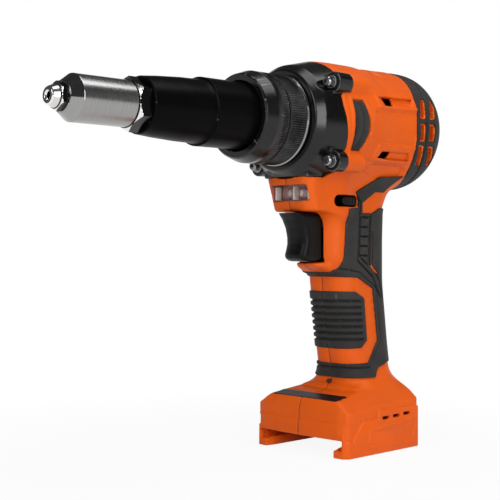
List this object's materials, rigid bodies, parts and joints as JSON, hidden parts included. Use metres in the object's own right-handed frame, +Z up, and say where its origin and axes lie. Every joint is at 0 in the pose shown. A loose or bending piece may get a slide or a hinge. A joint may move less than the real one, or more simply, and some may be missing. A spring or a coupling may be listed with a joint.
{
  "type": "battery rivet tool",
  "caption": "Cordless blind rivet tool with a pistol grip, a long steel nose on a black gearbox, an orange motor body and a slide-in battery foot; its jaws pull and set rivets.",
  "frame": {"origin": "on the floor under the middle of the tool, in its mid plane", "axes": "+X along the barrel towards the nose, +Y to the tool's left, +Z up"},
  "size_m": [0.2834, 0.0782, 0.2383],
  "materials": {
    "housing": "finely textured moulded orange",
    "rubber": "matt moulded black",
    "gearbox": "black coated die casting",
    "black_steel": "black oxide, turned",
    "steel": "turned and ground",
    "dark_steel": "dark, oiled",
    "bronze": "sintered",
    "copper": "enamelled wire",
    "black_plastic": "moulded",
    "panel": "smooth film",
    "lens": "clear",
    "board": "soldered board",
    "contact": "plated"
  },
  "bodies": {
    "tool_body": {"left_housing": "housing", "right_housing": "housing", "left_grip": "rubber", "right_grip": "rubber", "left_side_pad": "rubber", "right_side_pad": "rubber", "rear_bumper": "rubber", "housing_screws": "steel", "gearbox_housing": "gearbox", "gearbox_screws": "steel", "gearbox_washers": "dark_steel", "retaining_ring": "dark_steel", "knurled_collar": "black_steel", "front_housing": "black_steel", "front_sleeve": "black_steel", "hex_locknut": "steel", "nose_sleeve": "steel", "nosepiece": "black_steel", "guide_bush": "bronze", "thrust_bearing": "steel", "hub_bearing": "steel", "ring_gear": "dark_steel", "motor_bracket": "gearbox", "front_bearing": "steel", "stator": "dark_steel", "coils": "copper", "rear_bearing": "steel", "trigger_spring": "steel", "switch_body": "black_plastic", "led_lens": "lens", "led_board": "board", "display_panel": "panel", "control_board": "board", "terminal_block": "black_plastic", "terminal_blades": "contact"},
    "motor_rotor": {"motor_shaft": "steel", "rotor": "dark_steel", "fan": "black_plastic"},
    "first_stage": {"first_carrier": "dark_steel"},
    "first_planet_1": {"first_planet_1": "dark_steel"},
    "first_planet_2": {"first_planet_2": "dark_steel"},
    "first_planet_3": {"first_planet_3": "dark_steel"},
    "second_stage": {"second_carrier": "dark_steel", "ball_nut": "dark_steel"},
    "second_planet_1": {"second_planet_1": "dark_steel"},
    "second_planet_2": {"second_planet_2": "dark_steel"},
    "second_planet_3": {"second_planet_3": "dark_steel"},
    "puller": {"ball_screw": "steel", "pull_rod": "steel", "jaw_case": "dark_steel", "jaw_spring": "steel"},
    "pusher": {"jaw_pusher": "dark_steel"},
    "jaw_1": {"jaw_1": "dark_steel"},
    "jaw_2": {"jaw_2": "dark_steel"},
    "jaw_3": {"jaw_3": "dark_steel"},
    "trigger": {"trigger": "black_plastic"},
    "selector": {"direction_selector": "black_plastic"}
  },
  "joints": [
    {"name": "motor_spin", "type": "hinge", "parent": "tool_body", "child": "motor_rotor", "pos_m": [-0.09, 0, 0.2], "axis": [1, 0, 0], "range_deg": [0, 11520]},
    {"name": "first_carrier_spin", "type": "hinge", "parent": "tool_body", "child": "first_stage", "pos_m": [-0.05, 0, 0.2], "axis": [1, 0, 0], "range_deg": [0, 2880]},
    {"name": "first_planet_1_spin", "type": "hinge", "parent": "first_stage", "child": "first_planet_1", "pos_m": [-0.055, 0, 0.1847], "axis": [1, 0, 0], "range_deg": [-8640, 0]},
    {"name": "first_planet_2_spin", "type": "hinge", "parent": "first_stage", "child": "first_planet_2", "pos_m": [-0.055, 0.01325, 0.20765], "axis": [1, 0, 0], "range_deg": [-8640, 0]},
    {"name": "first_planet_3_spin", "type": "hinge", "parent": "first_stage", "child": "first_planet_3", "pos_m": [-0.055, -0.01325, 0.20765], "axis": [1, 0, 0], "range_deg": [-8640, 0]},
    {"name": "second_carrier_spin", "type": "hinge", "parent": "tool_body", "child": "second_stage", "pos_m": [-0.04, 0, 0.2], "axis": [1, 0, 0], "range_deg": [0, 720]},
    {"name": "second_planet_1_spin", "type": "hinge", "parent": "second_stage", "child": "second_planet_1", "pos_m": [-0.042, 0, 0.1847], "axis": [1, 0, 0], "range_deg": [-2160, 0]},
    {"name": "second_planet_2_spin", "type": "hinge", "parent": "second_stage", "child": "second_planet_2", "pos_m": [-0.042, 0.01325, 0.20765], "axis": [1, 0, 0], "range_deg": [-2160, 0]},
    {"name": "second_planet_3_spin", "type": "hinge", "parent": "second_stage", "child": "second_planet_3", "pos_m": [-0.042, -0.01325, 0.20765], "axis": [1, 0, 0], "range_deg": [-2160, 0]},
    {"name": "puller_slide", "type": "slide", "parent": "tool_body", "child": "puller", "axis": [-1, 0, 0], "range_m": [0, 0.02]},
    {"name": "pusher_slide", "type": "slide", "parent": "puller", "child": "pusher", "axis": [-1, 0, 0], "range_m": [0, 0.0025], "stiffness_N_per_m": 2000, "springref_m": -0.004, "deforming": ["jaw_spring"]},
    {"name": "jaw_1_slide", "type": "slide", "parent": "puller", "child": "jaw_1", "axis": [-0.9848, 0, -0.1736], "range_m": [0, 0.00255]},
    {"name": "jaw_2_slide", "type": "slide", "parent": "puller", "child": "jaw_2", "axis": [-0.9848, 0.1504, 0.0868], "range_m": [0, 0.00255]},
    {"name": "jaw_3_slide", "type": "slide", "parent": "puller", "child": "jaw_3", "axis": [-0.9848, -0.1504, 0.0868], "range_m": [0, 0.00255]},
    {"name": "trigger_slide", "type": "slide", "parent": "tool_body", "child": "trigger", "axis": [-1, 0, 0], "range_m": [0, 0.007], "stiffness_N_per_m": 900, "springref_m": -0.003, "deforming": ["trigger_spring"]},
    {"name": "selector_swing", "type": "hinge", "parent": "tool_body", "child": "selector", "pos_m": [-0.05975, 0, 0.1527], "axis": [0, 0, -1], "range_deg": [0, 20]}
  ],
  "couplings": [
    {"joint": "first_carrier_spin", "follows": "motor_spin", "ratio": 0.25},
    {"joint": "first_planet_1_spin", "follows": "motor_spin", "ratio": -0.75},
    {"joint": "first_planet_2_spin", "follows": "motor_spin", "ratio": -0.75},
    {"joint": "first_planet_3_spin", "follows": "motor_spin", "ratio": -0.75},
    {"joint": "second_carrier_spin", "follows": "motor_spin", "ratio": 0.0625},
    {"joint": "second_planet_1_spin", "follows": "motor_spin", "ratio": -0.1875},
    {"joint": "second_planet_2_spin", "follows": "motor_spin", "ratio": -0.1875},
    {"joint": "second_planet_3_spin", "follows": "motor_spin", "ratio": -0.1875},
    {"joint": "puller_slide", "follows": "motor_spin", "m_per_rad": 0.00009947},
    {"joint": "jaw_1_slide", "follows": "pusher_slide", "ratio": 1.0154},
    {"joint": "jaw_2_slide", "follows": "pusher_slide", "ratio": 1.0154},
    {"joint": "jaw_3_slide", "follows": "pusher_slide", "ratio": 1.0154}
  ]
}
